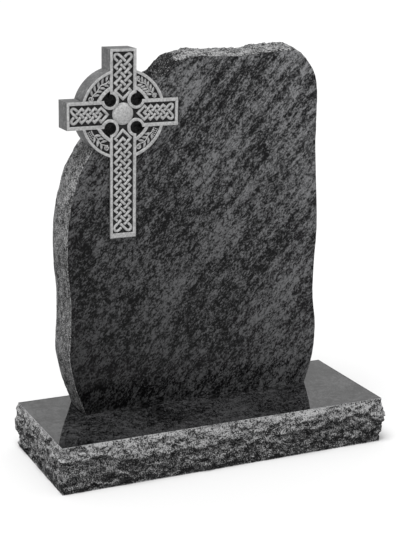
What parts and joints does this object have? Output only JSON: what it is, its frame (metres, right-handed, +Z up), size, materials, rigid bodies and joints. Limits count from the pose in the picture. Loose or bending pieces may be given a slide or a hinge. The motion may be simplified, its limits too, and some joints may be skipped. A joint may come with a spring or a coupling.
{
  "type": "cross headstone",
  "caption": "Rock-edged polished granite headstone with a ringed knotwork cross in relief, standing on a low rock-pitched base.",
  "frame": {"origin": "middle of the base's underside", "axes": "+Z up, front towards -Y, +X to the right seen from the front"},
  "size_m": [0.7846, 0.3076, 0.8895],
  "materials": {
    "base_stone": "rock-pitched grey granite",
    "tablet_stone": "polished dark granite"
  },
  "bodies": {
    "root": {"base": "base_stone", "headstone": "tablet_stone"}
  },
  "joints": []
}
